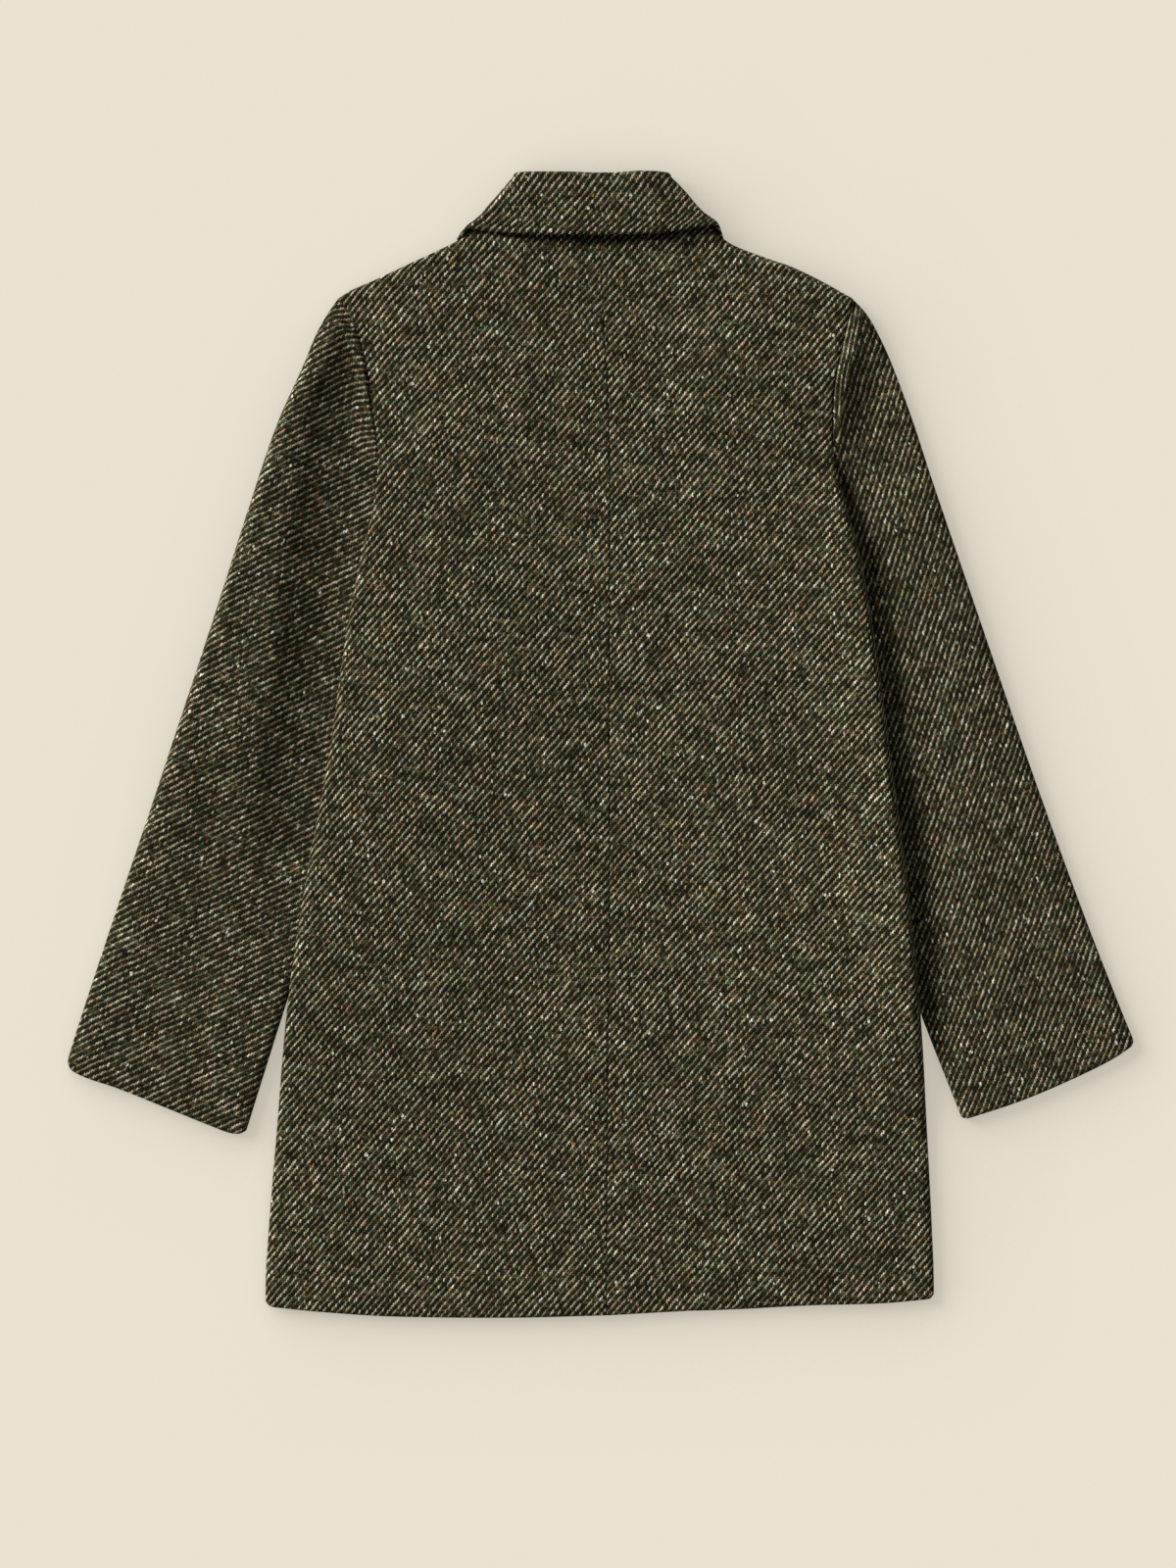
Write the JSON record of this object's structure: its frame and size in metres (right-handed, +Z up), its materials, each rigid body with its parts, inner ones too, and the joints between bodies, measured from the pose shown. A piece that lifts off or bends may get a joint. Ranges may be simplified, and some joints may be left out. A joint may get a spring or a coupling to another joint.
{
  "type": "short coat",
  "caption": "Short tweed coat laid flat on its front, back upwards, with a turned-down collar, a centre back seam, set-in sleeves and plain hems.",
  "frame": {"origin": "centre of the laid coat's box in plan, on the surface that it lies on", "axes": "+X towards the wearer's right sleeve, +Y from the hem to the collar, +Z up out of the surface, through the back"},
  "size_m": [0.8178, 0.8778, 0.0186],
  "materials": {
    "tweed_back": "matte, rough wool twill in dark green, black and grey with flecks",
    "tweed_front": "matte, rough wool twill in dark green, black and grey with flecks",
    "tweed_sleeve": "matte, rough wool twill in dark green, black and grey with flecks",
    "tweed_collar": "matte, rough wool twill in dark green, black and grey with flecks"
  },
  "bodies": {
    "root": {"back_left": "tweed_back", "back_right": "tweed_back", "front_left": "tweed_front", "front_right": "tweed_front", "sleeve_left": "tweed_sleeve", "sleeve_right": "tweed_sleeve", "collar": "tweed_collar"}
  },
  "joints": []
}
